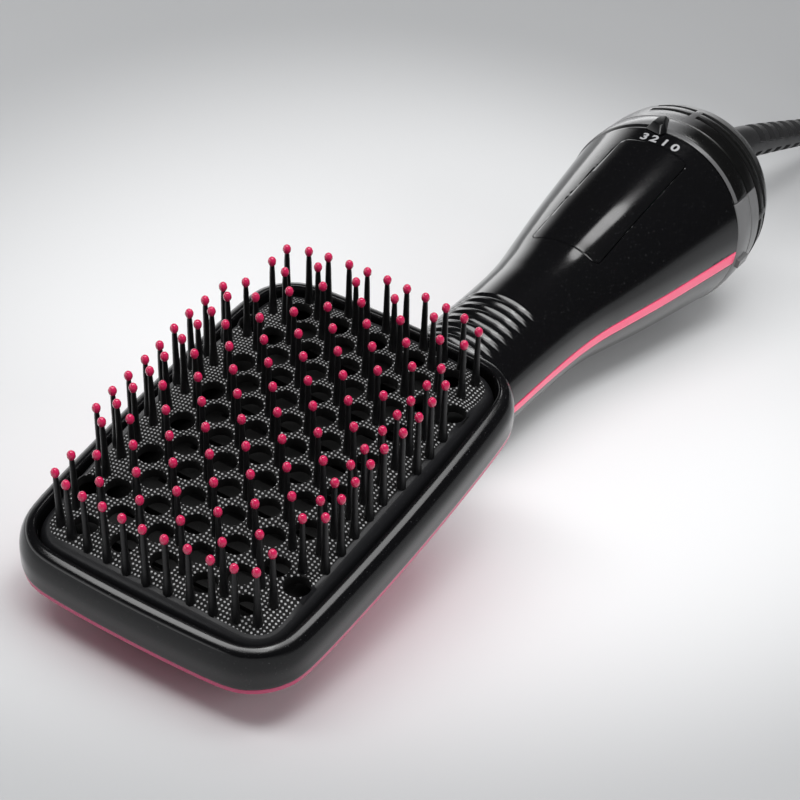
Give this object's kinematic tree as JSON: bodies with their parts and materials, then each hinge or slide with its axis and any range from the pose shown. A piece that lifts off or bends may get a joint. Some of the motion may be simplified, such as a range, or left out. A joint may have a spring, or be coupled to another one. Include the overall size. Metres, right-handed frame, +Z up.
{
  "type": "hot air brush",
  "caption": "Paddle hot air brush: domed vented plate with ball-tipped pins, bumper frame, flared grip with heater and blower, turning switch collar and swivelling mains lead",
  "frame": {"origin": "on the table under the middle of the brush, its lead left out", "axes": "+X across the paddle to the right seen from the grip end looking at the pins, +Y from the paddle to the lead along the brush, +Z up off the table"},
  "size_m": [0.1546, 0.6563, 0.0848],
  "materials": {
    "satin_black": "satin moulded plastic",
    "plate_black": "fine diamond grain, ball tips raspberry pink",
    "gloss_black": "high gloss moulded plastic",
    "pink_gloss": "semi gloss",
    "mica": "heat resistant mica sheet",
    "heater_wire": "resistance wire",
    "steel": "drawn can",
    "board_green": "laminate",
    "cord_rubber": "smooth matt",
    "nickel": "plated blades"
  },
  "bodies": {
    "brush": {"head_bumper": "satin_black", "bristle_plate": "plate_black", "air_baffle": "mica", "back_shell": "pink_gloss", "grip_top_shell": "gloss_black", "top_panel": "gloss_black", "side_stripe_right": "pink_gloss", "side_stripe_left": "pink_gloss", "grip_bottom_shell": "gloss_black", "heater_sleeve": "mica", "mica_cross": "mica", "heater_coil": "heater_wire", "thermostat": "steel", "motor": "steel", "motor_mount": "satin_black", "collar_sleeve": "satin_black", "rear_cap": "satin_black", "lint_filter": "steel", "swivel_retainer": "satin_black", "circuit_board": "board_green", "selector_switch": "satin_black", "strain_relief": "cord_rubber", "cord": "cord_rubber", "cord_hank": "cord_rubber", "plug_body": "cord_rubber", "plug_blade_left": "nickel", "plug_blade_right": "nickel"},
    "dial": {"dial_ring_upper": "gloss_black", "dial_ring_lower": "satin_black"},
    "blower": {"fan": "satin_black", "motor_shaft": "steel"},
    "lead_swivel": {"cord_swivel": "satin_black"}
  },
  "joints": [
    {"name": "dial_turn", "type": "hinge", "parent": "brush", "child": "dial", "pos_m": [0, 0.1292, 0.036], "axis": [0, 0.9945, 0.1045], "range_deg": [-7, 14]},
    {"name": "blower_spin", "type": "hinge", "parent": "brush", "child": "blower", "pos_m": [0, 0.11229, 0.03422], "axis": [0, 0.9945, 0.1045], "continuous": true},
    {"name": "lead_swivel_turn", "type": "hinge", "parent": "brush", "child": "lead_swivel", "pos_m": [0, 0.16898, 0.04018], "axis": [0, 0.9945, 0.1045], "continuous": true}
  ]
}
